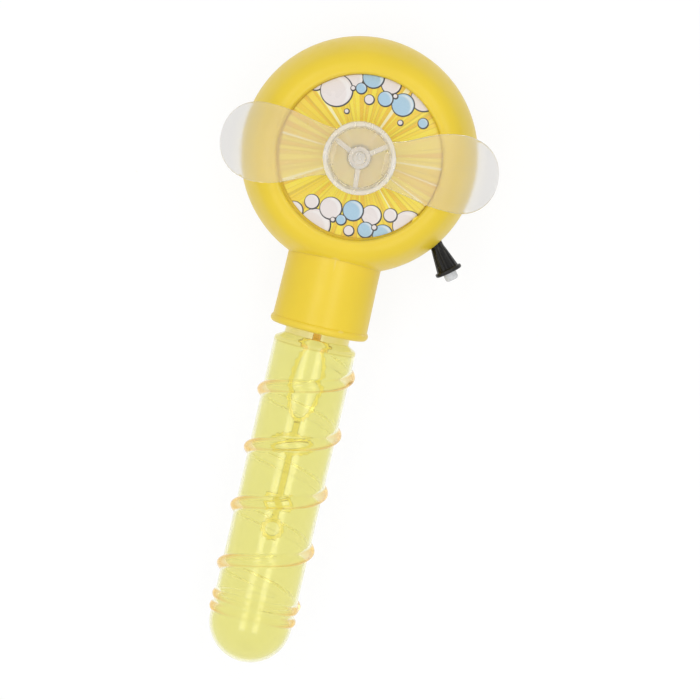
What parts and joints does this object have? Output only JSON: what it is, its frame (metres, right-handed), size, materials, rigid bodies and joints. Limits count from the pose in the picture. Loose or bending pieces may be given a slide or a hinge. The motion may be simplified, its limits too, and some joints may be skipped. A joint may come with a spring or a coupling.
{
  "type": "hand-held bubble machine",
  "caption": "Round yellow battery fan head with a soft two-blade fan, a push-button switch and a clear screw-on bottle holding a bubble wand.",
  "frame": {"origin": "on the head's flat back face, under the fan's axis", "axes": "+Z out of the front, along the fan's axis; +Y to the top of the head, so the bottle points to -Y; +X to the right as seen from the front"},
  "size_m": [0.1044, 0.2401, 0.0518],
  "materials": {
    "yellow_shell": "moulded, satin gloss",
    "printed_label": "printed film",
    "yellow_wand": "moulded",
    "foam_gasket": "matt",
    "clear_bottle": "clear tinted PET, gloss",
    "fan_plastic": "translucent, satin",
    "fan_blade": "soft, translucent",
    "white_plastic": "moulded",
    "black_plastic": "satin",
    "button_plastic": "translucent white",
    "steel": "plated",
    "magnet": "sintered",
    "copper": "lacquered",
    "brass": "satin",
    "cell_jacket": "printed jacket",
    "red_wire": "insulation",
    "black_wire": "insulation"
  },
  "bodies": {
    "housing": {"front_shell": "yellow_shell", "rear_shell": "yellow_shell", "battery_door": "yellow_shell", "neck_collar": "yellow_shell", "front_label": "printed_label", "bubble_wand": "yellow_wand", "motor_can": "steel", "motor_end_cap": "white_plastic", "motor_magnet_1": "magnet", "motor_magnet_2": "magnet", "motor_brush_1": "copper", "motor_brush_2": "copper", "motor_terminal_1": "brass", "motor_terminal_2": "brass", "clamp_screw_1": "steel", "clamp_screw_2": "steel", "motor_bush": "brass", "motor_clamp": "white_plastic", "switch_guard": "black_plastic", "button_spring": "steel", "switch_block": "black_plastic", "switch_leaf_1": "brass", "switch_leaf_2": "brass", "battery_1": "cell_jacket", "battery_2": "cell_jacket", "battery_spring_1": "steel", "battery_spring_2": "steel", "battery_bridge": "steel", "contact_minus": "steel", "contact_plus": "steel", "case_screw_1": "steel", "case_screw_2": "steel", "case_screw_3": "steel", "door_screw_1": "steel", "door_screw_2": "steel", "wire_plus": "red_wire", "wire_switch": "red_wire", "wire_minus": "black_wire"},
    "fan": {"fan_hub": "fan_plastic", "fan_blade_1": "fan_blade", "fan_blade_2": "fan_blade", "motor_shaft": "steel", "motor_armature": "copper"},
    "button": {"switch_button": "button_plastic", "button_clip": "steel"},
    "gasket": {"bottle_gasket": "foam_gasket"},
    "bottle": {"bottle": "clear_bottle"}
  },
  "joints": [
    {"name": "fan_spin", "type": "hinge", "parent": "housing", "child": "fan", "pos_m": [0, 0, 0.047], "axis": [0, 0, 1], "continuous": true},
    {"name": "button_press", "type": "slide", "parent": "housing", "child": "button", "axis": [-0.6225, 0.7826, 0], "range_m": [0, 0.0018], "stiffness_N_per_m": 200, "springref_m": -0.001, "deforming": ["button_spring"]},
    {"name": "bottle_pull", "type": "slide", "parent": "housing", "child": "gasket", "axis": [0, -1, 0], "range_m": [0, 0.108]},
    {"name": "bottle_turn", "type": "hinge", "parent": "gasket", "child": "bottle", "pos_m": [0, -0.12, 0.021], "axis": [0, 1, 0], "continuous": true}
  ]
}
